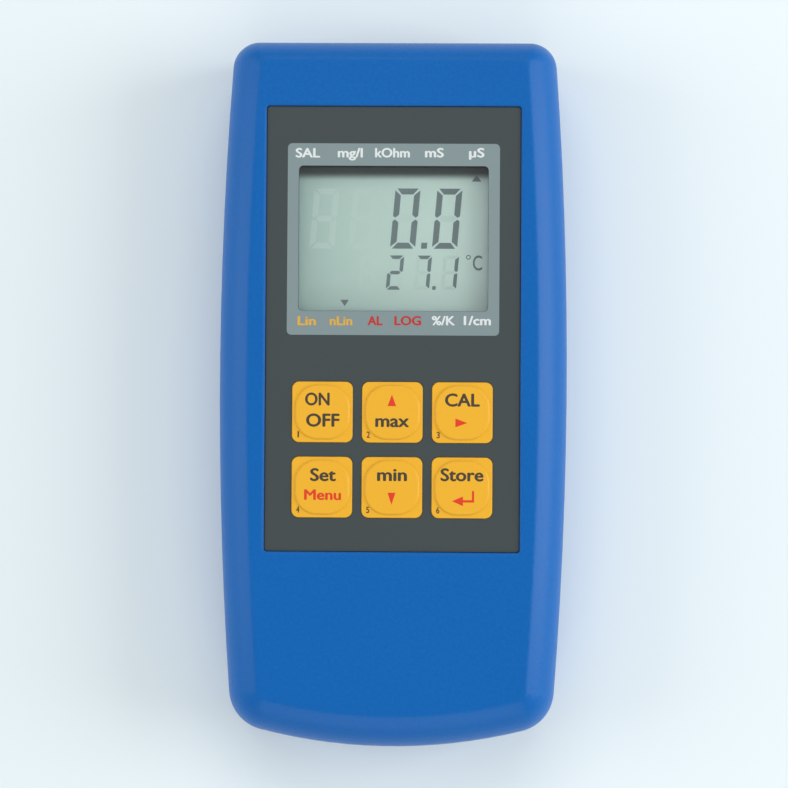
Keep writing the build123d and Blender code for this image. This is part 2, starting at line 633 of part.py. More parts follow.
def key_dome(centre):
    """Snap dome: a low cone of spring steel with a flat crown, stamped thin, on the circuit layer."""
    height = DOME_RISE + DOME_THICKNESS
    cone = Cone(DOME_RADIUS, DOME_CROWN_RADIUS, height)
    middle = Pos(*centre, SPACER_LOW_Z + height / 2)
    return middle * cone - Pos(0, 0, -DOME_THICKNESS) * middle * cone


def keypad_spacer():
    """Spacer layer with a square well round each key's flange."""
    spacer = plate(
        KEYPAD_WIDTH, KEYPAD_LENGTH, KEY_CORNER_RADIUS, SPACER_LOW_Z, PANEL_FLOOR_Z, (0, KEYPAD_CENTRE_Y)
    )
    well = KEY_SIZE + 2 * (KEY_FLANGE_MARGIN + SEAT_GAP)
    for centre in KEY_CENTRES:
        spacer -= plate(well, well, KEY_CORNER_RADIUS, SPACER_LOW_Z - 1, PANEL_FLOOR_Z + 1, centre)
    return spacer


def keypad_circuit():
    """Printed circuit layer under the domes, with its flat tail down to the board."""
    layer = plate(
        KEYPAD_WIDTH, KEYPAD_LENGTH, KEY_CORNER_RADIUS, KEYPAD_FLOOR_Z, SPACER_LOW_Z, (0, KEYPAD_CENTRE_Y)
    )
    tail = block(
        (-TAIL_WIDTH / 2, TAIL_WIDTH / 2), (TAIL_Y - TAIL_THICKNESS / 2, TAIL_Y + TAIL_THICKNESS / 2),
        (KEYPAD_FLOOR_Z - TAIL_LENGTH, KEYPAD_FLOOR_Z),
    )
    return layer + tail


def keypad_connector():
    """Upright connector on the board that takes the keypad's tail."""
    top = KEYPAD_FLOOR_Z - TAIL_LENGTH + 1.5
    half_x = TAIL_WIDTH / 2 + PLUG_SEAT_WALL
    half_y = TAIL_THICKNESS / 2 + PLUG_SEAT_WALL
    body = block((-half_x, half_x), (TAIL_Y - half_y, TAIL_Y + half_y), (BOARD_TOP_Z, top))
    slot_half = TAIL_THICKNESS / 2 + FIT_GAP
    return body - block(
        (-TAIL_WIDTH / 2 - FIT_GAP, TAIL_WIDTH / 2 + FIT_GAP),
        (TAIL_Y - slot_half, TAIL_Y + slot_half),
        (KEYPAD_FLOOR_Z - TAIL_LENGTH - FIT_GAP, top + 1),
    )


def circuit_board():
    """Circuit board: a wide field behind display and keys, and a neck that carries the sockets."""
    field = plate(
        BOARD_WIDTH, BOARD_SHOULDER_Y - BOARD_LOW_Y, BOARD_CORNER_RADIUS, BOARD_LOW_Z, BOARD_TOP_Z,
        (0, (BOARD_SHOULDER_Y + BOARD_LOW_Y) / 2),
    )
    neck_top = CASE_LENGTH / 2 - WALL - BOARD_END_GAP
    neck = block(
        (-BOARD_NECK_WIDTH / 2, BOARD_NECK_WIDTH / 2), (BOARD_SHOULDER_Y - 1, neck_top),
        (BOARD_LOW_Z, BOARD_TOP_Z),
    )
    board = field + neck
    for x, y in BOARD_SCREW_PLACES:
        board -= post(x, y, BOARD_SCREW_RADIUS + SLIDE_GAP, BOARD_LOW_Z - 1, BOARD_TOP_Z + 1)
    return board


def controller_chip():
    """Flat square controller with its rows of legs, on the underside of the board."""
    x, y = CHIP_CENTRE
    body_low = BOARD_LOW_Z - SEAT_GAP - CHIP_THICKNESS
    half = CHIP_SIZE / 2
    chip = block((x - half, x + half), (y - half, y + half), (body_low, BOARD_LOW_Z - SEAT_GAP))
    pitch = CHIP_SIZE / (CHIP_PINS_PER_SIDE + 1)
    half_span = half + CHIP_PIN_REACH
    for pin in range(CHIP_PINS_PER_SIDE):
        offset = (pin - (CHIP_PINS_PER_SIDE - 1) / 2) * pitch
        near, far = offset - CHIP_PIN_WIDTH / 2, offset + CHIP_PIN_WIDTH / 2
        heights = (BOARD_LOW_Z - 2 * SEAT_GAP, BOARD_LOW_Z)
        chip += block((x - half_span, x + half_span), (y + near, y + far), heights)
        chip += block((x + near, x + far), (y - half_span, y + half_span), heights)
    return chip


def amplifier_chips():
    """Two small chips of the measuring circuit."""
    length, width, thickness = AMPLIFIER_SIZE
    return Compound([
        plate(length, width, 0.2, BOARD_LOW_Z - thickness, BOARD_LOW_Z, centre)
        for centre in AMPLIFIER_CENTRES
    ])


def quartz_crystal():
    """Metal can of the crystal, on its flat base."""
    can = plate(
        CRYSTAL_LENGTH, CRYSTAL_WIDTH, CRYSTAL_WIDTH / 2 - 0.1, BOARD_LOW_Z - CRYSTAL_HEIGHT, BOARD_LOW_Z,
        CRYSTAL_CENTRE,
    )
    base = plate(
        CRYSTAL_LENGTH + 0.8, CRYSTAL_WIDTH + 0.8, CRYSTAL_WIDTH / 2, BOARD_LOW_Z - 0.5, BOARD_LOW_Z,
        CRYSTAL_CENTRE,
    )
    return can + base


def board_capacitors():
    """Two round can capacitors, each on its square base."""
    cans = []
    for x, y in CAPACITOR_CENTRES:
        can = post(x, y, CAPACITOR_RADIUS, BOARD_LOW_Z - CAPACITOR_HEIGHT, BOARD_LOW_Z - 0.5)
        size = 2 * CAPACITOR_RADIUS + 0.4
        cans.append(can + plate(size, size, 0.8, BOARD_LOW_Z - 0.6, BOARD_LOW_Z, (x, y)))
    return Compound(cans)


def buzzer():
    """Round sounder with its sound hole."""
    x, y = BUZZER_CENTRE
    body = post(x, y, BUZZER_RADIUS, BOARD_LOW_Z - BUZZER_HEIGHT, BOARD_LOW_Z)
    return body - post(x, y, BUZZER_HOLE_RADIUS, 0, BOARD_LOW_Z - BUZZER_HEIGHT + 2)


def contact_places():
    """Centres of the probe socket's contacts: one in the middle of a ring of the others."""
    ring = PolarLocations(PROBE_CONTACT_RING, PROBE_CONTACTS - 1)
    around = [(place.position.X, place.position.Y) for place in ring]
    return [(0.0, 0.0)] + around


def probe_socket():
    """Round multi-pole socket for the measuring cell: moulded block with a shielded ring cavity."""
    body = block(
        (PROBE_SOCKET_X - PROBE_SOCKET_WIDTH / 2, PROBE_SOCKET_X + PROBE_SOCKET_WIDTH / 2),
        (SOCKET_FACE_Y - PROBE_SOCKET_LENGTH, SOCKET_FACE_Y),
        (PARTING_HEIGHT - SOCKET_HEIGHT / 2, BOARD_LOW_Z),
    )
    deep_y = SOCKET_FACE_Y - PROBE_CAVITY_DEPTH
    front_y = SOCKET_FACE_Y + 1
    cavity = rod_y(PROBE_SOCKET_X, PARTING_HEIGHT, PROBE_SHIELD_RADIUS, deep_y, front_y)
    cavity -= rod_y(PROBE_SOCKET_X, PARTING_HEIGHT, PROBE_INSERT_RADIUS, deep_y - 1, SOCKET_FACE_Y)
    for x, z in contact_places():
        bore = PROBE_CONTACT_RADIUS
        cavity += rod_y(PROBE_SOCKET_X + x, PARTING_HEIGHT + z, bore, deep_y, front_y)
    return body - cavity


def probe_shield():
    """Metal sleeve that lines the probe socket's ring cavity."""
    deep_y = SOCKET_FACE_Y - PROBE_CAVITY_DEPTH
    outer = PROBE_SHIELD_RADIUS - FIT_GAP
    sleeve = rod_y(PROBE_SOCKET_X, PARTING_HEIGHT, outer, deep_y, SOCKET_FACE_Y)
    inner = outer - PROBE_SHIELD_WALL
    return sleeve - rod_y(PROBE_SOCKET_X, PARTING_HEIGHT, inner, deep_y - 1, SOCKET_FACE_Y + 1)


def probe_contacts():
    """Spring sleeves in the insert, one for each pole."""
    deep_y = SOCKET_FACE_Y - PROBE_CAVITY_DEPTH
    sleeves = []
    for x, z in contact_places():
        place_x, place_z = PROBE_SOCKET_X + x, PARTING_HEIGHT + z
        sleeve = rod_y(place_x, place_z, PROBE_CONTACT_RADIUS - FIT_GAP, deep_y, SOCKET_FACE_Y - 0.5)
        sleeves.append(sleeve - rod_y(place_x, place_z, PROBE_CONTACT_BORE, deep_y + 1, SOCKET_FACE_Y))
    return Compound(sleeves)


def interface_jack():
    """Jack for the data lead, with its round nose through the end wall."""
    body = block(
        (JACK_X - JACK_WIDTH / 2, JACK_X + JACK_WIDTH / 2), (SOCKET_FACE_Y - JACK_LENGTH, SOCKET_FACE_Y),
        (PARTING_HEIGHT - SOCKET_HEIGHT / 2, BOARD_LOW_Z),
    )
    nose_y = CASE_LENGTH / 2 - JACK_NOSE_SHY
    body += rod_y(JACK_X, PARTING_HEIGHT, JACK_NOSE_RADIUS, SOCKET_FACE_Y - 1, nose_y)
    return body - rod_y(JACK_X, PARTING_HEIGHT, JACK_BORE_RADIUS, nose_y - JACK_BORE_DEPTH, nose_y + 1)


def power_face_x():
    """Face of the power socket, just inside the left wall."""
    bow = SIDE_BOW_RADIUS - sqrt(SIDE_BOW_RADIUS**2 - (POWER_SOCKET_Y - SIDE_BOW_CENTRE) ** 2)
    return -(CASE_WIDTH / 2 - bow - WALL - SOCKET_WALL_GAP)


def power_socket():
    """Low-voltage socket on the left side."""
    face_x = power_face_x()
    body = block(
        (face_x, face_x + POWER_SOCKET_LENGTH),
        (POWER_SOCKET_Y - POWER_SOCKET_WIDTH / 2, POWER_SOCKET_Y + POWER_SOCKET_WIDTH / 2),
        (PARTING_HEIGHT - SOCKET_HEIGHT / 2, BOARD_LOW_Z),
    )
    deep_x = face_x + POWER_CAVITY_DEPTH
    return body - rod_x(POWER_SOCKET_Y, PARTING_HEIGHT, POWER_CAVITY_RADIUS, face_x - 1, deep_x)


def power_pin():
    """Centre pin of the power socket."""
    face_x = power_face_x()
    pin = rod_x(
        POWER_SOCKET_Y, PARTING_HEIGHT, POWER_PIN_RADIUS, face_x + 0.8, face_x + POWER_CAVITY_DEPTH
    )
    return chamfer(pin.edges().sort_by(Axis.X)[:1], POWER_PIN_RADIUS / 3)


def battery():
    """Nine volt block across the lower end, with its jacket's rounded long edges."""
    body = block(
        (BATTERY_LEFT_X, BATTERY_END_X), (BATTERY_TOP_Y - BATTERY_WIDTH, BATTERY_TOP_Y),
        (BATTERY_LOW_Z, BATTERY_LOW_Z + BATTERY_DEPTH),
    )
    return fillet(body.edges().filter_by(Axis.X), BATTERY_ROUNDING)


def battery_terminals():
    """Stud and socket terminals on the battery's end."""
    high_y = BATTERY_CENTRE_Y + TERMINAL_PITCH / 2
    low_y = BATTERY_CENTRE_Y - TERMINAL_PITCH / 2
    stud = rod_x(high_y, BATTERY_CENTRE_Z, SMALL_TERMINAL_RADIUS, BATTERY_END_X, SNAP_LOW_X)
    cup = rod_x(low_y, BATTERY_CENTRE_Z, LARGE_TERMINAL_RADIUS, BATTERY_END_X, SNAP_LOW_X)
    cup -= rod_x(low_y, BATTERY_CENTRE_Z, TERMINAL_BORE_RADIUS, BATTERY_END_X + 0.6, SNAP_LOW_X + 1)
    return Compound([stud, cup])


def battery_snap():
    """Moulded connector that snaps on the battery's terminals."""
    outline = Pos(SNAP_LOW_X, BATTERY_CENTRE_Y, BATTERY_CENTRE_Z) * Rot(0, 90, 0) * RectangleRounded(
        SNAP_WIDTH, SNAP_LENGTH, SNAP_ROUNDING
    )
    return extrude(outline, SNAP_THICKNESS)


def battery_lead(rise):
    """Insulated lead from the snap connector, out of the bay's notch and up to the board."""
    x = SNAP_LOW_X + SNAP_THICKNESS / 2
    start_y = BATTERY_CENTRE_Y + SNAP_LENGTH / 2
    wall_y = BATTERY_TOP_Y + BAY_END_WALL
    height = BATTERY_CENTRE_Z + rise
    end_y = BOARD_LOW_Y + LEAD_SPACING - rise
    route = [
        (x, start_y, height),
        (x, start_y + 3 * LEAD_RADIUS, height),
        (x - LEAD_SWAY, wall_y + LEAD_SPACING, height),
        (x - LEAD_SWAY, end_y - LEAD_SPACING, height),
        (x - LEAD_SWAY, end_y, BOARD_LOW_Z - LEAD_RADIUS),
    ]
    path = FilletPolyline(*route, radius=2 * LEAD_RADIUS)
    profile = Plane(origin=path @ 0, z_dir=path % 0) * Circle(LEAD_RADIUS)
    return sweep(profile, path)


def battery_cover():
    """Sliding cover of the battery bay, cut from the case's own outline, with its spring catch."""
    end_y = -CASE_LENGTH / 2 - CUT_MARGIN
    body = block(
        (-COVER_HALF_WIDTH, COVER_HALF_WIDTH), (end_y, COVER_TOP_Y), (0, COVER_THICKNESS)
    )
    tongue_half = COVER_HALF_WIDTH + COVER_TONGUE
    body += block(
        (-tongue_half, tongue_half), (end_y, COVER_TONGUE_TOP_Y), (COVER_TONGUE_HEIGHT, COVER_THICKNESS)
    )
    body &= back_form(0, PARTING_HEIGHT, OUTER_BANDS)
    for grip in range(COVER_GRIPS):
        y = COVER_GRIP_CENTRE_Y + (grip - (COVER_GRIPS - 1) / 2) * COVER_GRIP_PITCH
        half_x = COVER_GRIP_SPAN / 2
        half_y = COVER_GRIP_WIDTH / 2
        body -= block((-half_x, half_x), (y - half_y, y + half_y), (-1, COVER_GRIP_DEPTH))
    catch_x = (-CATCH_HALF_WIDTH, CATCH_HALF_WIDTH)
    low = WALL + CATCH_LIFT
    high = low + CATCH_THICKNESS
    root_low_y = COVER_TOP_Y - CATCH_ROOT
    tip_y = COVER_TOP_Y + CATCH_REACH
    body += block(catch_x, (root_low_y, COVER_TOP_Y - 2 * SLIDE_GAP), (COVER_THICKNESS / 2, high))
    body += block(catch_x, (root_low_y, tip_y), (low, high))
    bump_y = tip_y - CATCH_BUMP_RADIUS * 2
    bump = rod_x(bump_y, low + CATCH_BUMP_RADIUS - CATCH_LIFT / 2, CATCH_BUMP_RADIUS, *catch_x)
    return body + bump


def hang_hole(low, high):
    """Keyhole in the clip: a hole for a screw head and a slot for its shank towards the free end."""
    hole = post(0, HANG_HOLE_Y, HANG_HOLE_RADIUS, low, high)
    half = HANG_SLOT_WIDTH / 2
    slot_end = HANG_HOLE_Y - HANG_SLOT_REACH
    slot = block((-half, half), (slot_end, HANG_HOLE_Y), (low, high))
    return hole + slot + post(0, slot_end, half, low, high)


def stand_clip():
    """Fold-out clip: ribbed plate with a hinge barrel and a keyhole for hanging on a screw."""
    outline = clip_outline(0)
    top = CLIP_SHY + CLIP_THICKNESS
    clip = extrude(Pos(0, 0, CLIP_SHY) * outline, CLIP_THICKNESS)
    half = CLIP_WIDTH / 2
    barrel = rod_x(CLIP_AXIS_Y, CLIP_AXIS_Z, CLIP_BARREL_RADIUS, -half, half)
    clip += barrel
    pocket = extrude(Pos(0, 0, CLIP_SHY + CLIP_SKIN) * offset(outline, amount=-CLIP_RIM), CLIP_THICKNESS)
    pocket -= block(
        (-half, half), (CLIP_AXIS_Y - CLIP_BARREL_RADIUS - CLIP_RIM, CLIP_AXIS_Y + 1), (0, 2 * top)
    )
    collar = post(0, HANG_HOLE_Y, HANG_HOLE_RADIUS + CLIP_RIM, 0, top)
    slot_half = HANG_SLOT_WIDTH / 2 + CLIP_RIM
    slot_end = HANG_HOLE_Y - HANG_SLOT_REACH
    collar += block((-slot_half, slot_half), (slot_end, HANG_HOLE_Y), (0, top))
    collar += post(0, slot_end, slot_half, 0, top)
    for share in (0.33, 0.5, 0.8):
        rib_y = CLIP_AXIS_Y - share * CLIP_REACH
        collar += block((-half, half), (rib_y - CLIP_RIM / 2, rib_y + CLIP_RIM / 2), (0, top))
    clip -= pocket - collar
    clip -= hang_hole(-1, top + 1)
    return clip - rod_x(CLIP_AXIS_Y, CLIP_AXIS_Z, CLIP_PIN_RADIUS + 2 * FIT_GAP, -half - 1, half + 1)


def clip_pin():
    """Steel pin of the clip's hinge, held in the back shell at both ends."""
    half = CLIP_WIDTH / 2 + CLIP_PIN_HOLD - SEAT_GAP
    return rod_x(CLIP_AXIS_Y, CLIP_AXIS_Z, CLIP_PIN_RADIUS, -half, half)


def screw(x, y, head_radius, head_span, shank_radius, tip_z):
    """Upright screw with a bevelled head and a cross recess in it."""
    low, high = head_span
    body = post(x, y, head_radius, low, high)
    body = chamfer(body.edges().sort_by(Axis.Z)[:1], (high - low) / 3)
    body += post(x, y, shank_radius, high, tip_z)
    arm = DRIVE_SPAN / 2
    half = DRIVE_SLOT / 2
    depths = (low - 1, low + DRIVE_DEPTH)
    body -= block((x - arm, x + arm), (y - half, y + half), depths)
    return body - block((x - half, x + half), (y - arm, y + arm), depths)


def case_screws():
    """Four screws that hold the half shells together."""
    head_top = CASE_SCREW_HEAD_LOW_Z + CASE_SCREW_HEAD_HEIGHT
    return Compound([
        screw(x, y, CASE_SCREW_HEAD_RADIUS, (CASE_SCREW_HEAD_LOW_Z, head_top), CASE_SCREW_RADIUS,
              CASE_SCREW_TIP_Z)
        for x, y in CASE_SCREW_PLACES
    ])


def board_screws():
    """Screws that hold the board against the posts of the front shell."""
    head_low = BOARD_LOW_Z - BOARD_SCREW_HEAD_HEIGHT
    return Compound([
        screw(x, y, BOARD_SCREW_HEAD_RADIUS, (head_low, BOARD_LOW_Z), BOARD_SCREW_RADIUS,
              BOARD_LOW_Z + BOARD_SCREW_LENGTH)
        for x, y in BOARD_SCREW_PLACES
    ])


def meter():
    """Every piece of the meter, by node name."""
    pieces = {
        "front_shell": front_shell(),
        "back_shell": back_shell(),
        "panel_film": panel_film(),
        "display_pane": display_pane(),
        "display_glass": display_glass(),
        "display_frame": display_frame(),
        "contact_strips": contact_strips(),
        "keypad_spacer": keypad_spacer(),
        "keypad_circuit": keypad_circuit(),
        "keypad_connector": keypad_connector(),
        "circuit_board": circuit_board(),
        "controller_chip": controller_chip(),
        "amplifier_chips": amplifier_chips(),
        "quartz_crystal": quartz_crystal(),
        "board_capacitors": board_capacitors(),
        "buzzer": buzzer(),
        "probe_socket": probe_socket(),
        "probe_shield": probe_shield(),
        "probe_contacts": probe_contacts(),
        "interface_jack": interface_jack(),
        "power_socket": power_socket(),
        "power_pin": power_pin(),
        "battery": battery(),
        "battery_terminals": battery_terminals(),
        "battery_snap": battery_snap(),
        "lead_plus": battery_lead(LEAD_SPACING / 2),
        "lead_minus": battery_lead(-LEAD_SPACING / 2),
        "battery_cover": battery_cover(),
        "stand_clip": stand_clip(),
        "clip_pin": clip_pin(),
        "case_screws": case_screws(),
        "board_screws": board_screws(),
    }
    for name, centre in zip(KEY_NAMES, KEY_CENTRES):
        pieces[f"key_{name}"] = key_cap(centre)
        pieces[f"dome_{name}"] = key_dome(centre)
    return pieces


os.makedirs("parts", exist_ok=True)
for node, solid in meter().items():
    export_step(solid, f"parts/{node}.step")
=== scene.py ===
import math

import bmesh
import bpy
from mathutils import Matrix, Vector


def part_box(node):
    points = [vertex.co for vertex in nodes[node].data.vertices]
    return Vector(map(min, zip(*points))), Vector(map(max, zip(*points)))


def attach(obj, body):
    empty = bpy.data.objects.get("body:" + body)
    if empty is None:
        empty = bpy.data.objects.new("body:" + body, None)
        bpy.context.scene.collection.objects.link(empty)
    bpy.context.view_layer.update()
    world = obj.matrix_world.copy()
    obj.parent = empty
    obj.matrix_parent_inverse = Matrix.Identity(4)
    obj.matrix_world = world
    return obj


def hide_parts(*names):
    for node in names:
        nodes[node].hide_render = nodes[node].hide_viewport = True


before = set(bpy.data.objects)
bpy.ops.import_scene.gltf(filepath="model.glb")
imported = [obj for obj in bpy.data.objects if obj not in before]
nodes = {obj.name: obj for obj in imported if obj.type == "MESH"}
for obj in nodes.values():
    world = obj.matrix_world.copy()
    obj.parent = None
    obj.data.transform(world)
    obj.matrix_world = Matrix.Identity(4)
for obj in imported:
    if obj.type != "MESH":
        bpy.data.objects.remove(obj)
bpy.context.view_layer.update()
MM = 0.001


# Camera and studio: the meter lies face up on a pale table and is seen almost straight down from
# 0.41 m, a little from its lower end and right side. Two large soft lamps stand low at its sides, the
# right one stronger, with a wide one over the socket end and a weak one at the lower end.
view_tilt = math.radians(1.3)
view_side = math.radians(0.84)
view_roll = math.radians(0.35)
view_distance = 408.4 * MM
view_middle = Vector((0, 0, 13)) * MM
view_shift_right, view_shift_up = 0.12, 0.02

view_back = Vector((
    math.sin(view_side),
    -math.sin(view_tilt) * math.cos(view_side),
    math.cos(view_tilt) * math.cos(view_side),
))
view_right = Vector((0, 1, 0)).cross(view_back).normalized()
view_up = view_back.cross(view_right)
rolled_right = view_right * math.cos(view_roll) + view_up * math.sin(view_roll)
rolled_up = view_up * math.cos(view_roll) - view_right * math.sin(view_roll)
aim = view_middle + rolled_right * view_shift_right * MM + rolled_up * view_shift_up * MM
stand = aim + view_back * view_distance

camera_data = bpy.data.cameras.new("camera")
camera_data.sensor_width = 36
camera_data.lens = 91.29
camera_data.clip_start = 0.01
camera = bpy.data.objects.new("camera", camera_data)
camera.matrix_world = Matrix((
    (rolled_right.x, rolled_up.x, view_back.x, stand.x),
    (rolled_right.y, rolled_up.y, view_back.y, stand.y),
    (rolled_right.z, rolled_up.z, view_back.z, stand.z),
    (0, 0, 0, 1),
))
bpy.context.collection.objects.link(camera)
bpy.context.scene.camera = camera
bpy.context.scene.view_settings.view_transform = "Standard"

lamp_aim = Vector((0, 0, 0.01))
for name, place, (width, height), watts in (
    ("left_lamp", (-0.85, 0.05, 0.42), (0.55, 0.7), 2.6),
    ("right_lamp", (0.85, 0.05, 0.42), (0.55, 0.7), 5.4),
    ("end_lamp", (0, 0.75, 0.85), (0.9, 0.5), 3.0),
    ("near_lamp", (0, -0.8, 0.45), (0.7, 0.4), 1.6),
):
    lamp_data = bpy.data.lights.new(name, "AREA")
    lamp_data.shape = "RECTANGLE"
    lamp_data.size = width
    lamp_data.size_y = height
    lamp_data.energy = watts
    lamp = bpy.data.objects.new(name, lamp_data)
    lamp.location = place
    lamp.rotation_euler = (lamp_aim - Vector(place)).to_track_quat("-Z", "Y").to_euler()
    bpy.context.collection.objects.link(lamp)

world = bpy.data.worlds.new("studio")
bpy.context.scene.world = world
world.use_nodes = True
sky = world.node_tree.nodes["Background"]
sky.inputs["Strength"].default_value = 0.45
sky.inputs["Color"].default_value = (1.0, 1.0, 1.0, 1.0)


def tone(red, green, blue):
    """Linear colour of an eight-bit one."""
    parts = [part / 255 for part in (red, green, blue)]
    return tuple(
        part / 12.92 if part <= 0.04045 else ((part + 0.055) / 1.055) ** 2.4 for part in parts
    ) + (1.0,)


def new_piece(name, shape, material):
    """Object at the origin from a finished bmesh."""
    mesh = bpy.data.meshes.new(name)
    shape.to_mesh(mesh)
    shape.free()
    mesh.materials.append(material)
    piece = bpy.data.objects.new(name, mesh)
    bpy.context.collection.objects.link(piece)
    return piece


table_half_width = 3.0
table_drop = 0.02 * MM
table_material = bpy.data.materials.new("table_top")
table_material.use_nodes = True
table_shader = table_material.node_tree.nodes["Principled BSDF"]
table_shader.inputs["Base Color"].default_value = tone(235, 246, 249)
table_shader.inputs["Roughness"].default_value = 0.9
table_shader.inputs["Specular IOR Level"].default_value = 0.0
table_shape = bmesh.new()
bmesh.ops.create_grid(table_shape, x_segments=1, y_segments=1, size=table_half_width)
bmesh.ops.translate(table_shape, verts=table_shape.verts, vec=(0, 0, -table_drop))
table_top = new_piece("table_top", table_shape, table_material)


# Case: two half shells of blue ABS, injection moulded in a finely eroded tool, so the skin has an even
# fine grain. They meet in a straight parting line round the middle and are held by four screws. The
# battery cover and the folding clip are moulded in the same blue.
def grain_group():
    """Shader group: a colour with fine speckle and slow clouding, and the grain's height."""
    group = bpy.data.node_groups.new("moulded_grain", "ShaderNodeTree")
    new_socket = group.interface.new_socket
    new_socket("Colour", in_out="INPUT", socket_type="NodeSocketColor")
    for name, start in (("Grain", 2500.0), ("Speckle", 0.08), ("Clouding", 0.05), ("Gloss", 0.4)):
        new_socket(name, in_out="INPUT", socket_type="NodeSocketFloat").default_value = start
    new_socket("Colour", in_out="OUTPUT", socket_type="NodeSocketColor")
    new_socket("Roughness", in_out="OUTPUT", socket_type="NodeSocketFloat")
    new_socket("Height", in_out="OUTPUT", socket_type="NodeSocketFloat")
    make = group.nodes.new
    join = group.links.new
    outside, inside = make("NodeGroupInput"), make("NodeGroupOutput")
    place = make("ShaderNodeTexCoord")
    fine = make("ShaderNodeTexNoise")
    fine.inputs["Detail"].default_value = 3.0
    fine.inputs["Roughness"].default_value = 0.65
    slow = make("ShaderNodeTexNoise")
    slow.inputs["Scale"].default_value = 45.0
    slow.inputs["Detail"].default_value = 2.0
    join(place.outputs["Object"], fine.inputs["Vector"])
    join(place.outputs["Object"], slow.inputs["Vector"])
    join(outside.outputs["Grain"], fine.inputs["Scale"])

    def swing(source, amount, middle):
        """Socket of middle + (source - 0.5) * amount."""
        centred = make("ShaderNodeMath")
        centred.operation = "SUBTRACT"
        centred.inputs[1].default_value = 0.5
        scaled = make("ShaderNodeMath")
        scaled.operation = "MULTIPLY_ADD"
        join(source, centred.inputs[0])
        join(centred.outputs[0], scaled.inputs[0])
        join(amount, scaled.inputs[1])
        if isinstance(middle, float):
            scaled.inputs[2].default_value = middle
        else:
            join(middle, scaled.inputs[2])
        return scaled.outputs[0]

    clouded = swing(slow.outputs["Fac"], outside.outputs["Clouding"], 1.0)
    speckled = swing(fine.outputs["Fac"], outside.outputs["Speckle"], clouded)
    rough = swing(fine.outputs["Fac"], outside.outputs["Speckle"], outside.outputs["Gloss"])
    shade = make("ShaderNodeVectorMath")
    shade.operation = "SCALE"
    join(outside.outputs["Colour"], shade.inputs[0])
    join(speckled, shade.inputs["Scale"])
    join(shade.outputs[0], inside.inputs["Colour"])
    join(rough, inside.inputs["Roughness"])
    join(fine.outputs["Fac"], inside.inputs["Height"])
    return group


moulded_grain = grain_group()


def add_node(material, kind, **values):
    """New shader node in a material, with its settings."""
    node = material.node_tree.nodes.new(kind)
    for name, value in values.items():
        setattr(node, name, value)
    return node


def grained(name, colour, gloss, grain, speckle, clouding, depth, edge=0.0, metal=0.0, sheen=0.5):
    """Material bumped by the moulded grain; depth and the softened edge are in millimetres."""
    material = bpy.data.materials.new(name)
    material.use_nodes = True
    shader = material.node_tree.nodes["Principled BSDF"]
    shader.inputs["Metallic"].default_value = metal
    shader.inputs["Specular IOR Level"].default_value = sheen
    join = material.node_tree.links.new
    group = add_node(material, "ShaderNodeGroup", node_tree=moulded_grain)
    group.inputs["Colour"].default_value = colour
    group.inputs["Grain"].default_value = grain
    group.inputs["Speckle"].default_value = speckle
    group.inputs["Clouding"].default_value = clouding
    group.inputs["Gloss"].default_value = gloss
    join(group.outputs["Colour"], shader.inputs["Base Color"])
    join(group.outputs["Roughness"], shader.inputs["Roughness"])
    bump = add_node(material, "ShaderNodeBump")
    bump.inputs["Strength"].default_value = 1.0
    bump.inputs["Distance"].default_value = depth * MM
    join(group.outputs["Height"], bump.inputs["Height"])
    if edge:
        rounding = add_node(material, "ShaderNodeBevel", samples=6)
        rounding.inputs["Radius"].default_value = edge * MM
        join(rounding.outputs["Normal"], bump.inputs["Normal"])
    join(bump.outputs["Normal"], shader.inputs["Normal"])
    return material


merge_distance = 0.002 * MM
crease_angle = math.radians(19)


def merged_copy(node):
    """Copy of a CAD node's mesh with its triangles joined, smooth up to the crease angle."""
    shape = bmesh.new()
    shape.from_mesh(nodes[node].data)
    bmesh.ops.remove_doubles(shape, verts=shape.verts, dist=merge_distance)
    for face in shape.faces:
        face.smooth = True
    for edge in shape.edges:
        edge.smooth = len(edge.link_faces) == 2 and edge.calc_face_angle(0) < crease_angle
    return shape


case_blue = grained(
    "case_blue", tone(0, 98, 178),
    gloss=0.38, grain=1500.0, speckle=0.3, clouding=0.05, depth=0.05, edge=1.1, sheen=0.24,
)
for node, body in (
    ("back_shell", "root"), ("front_shell", "root"), ("battery_cover", "cover"), ("stand_clip", "clip"),
):
    moulding = new_piece(f"{node}_moulding", merged_copy(node), case_blue)
    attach(moulding, body)
    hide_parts(node)


# Inside of the case: a green glass-fibre board with black chips and sockets, bright cans, crystal and
# shield, gold contacts, an ivory display frame and connector, amber keypad layers, steel domes and
# screws, and a nine volt block with its black snap connector and two leads.
def dress(node, material):
    """Give a CAD node its material."""
    nodes[node].data.materials.clear()
    nodes[node].data.materials.append(material)


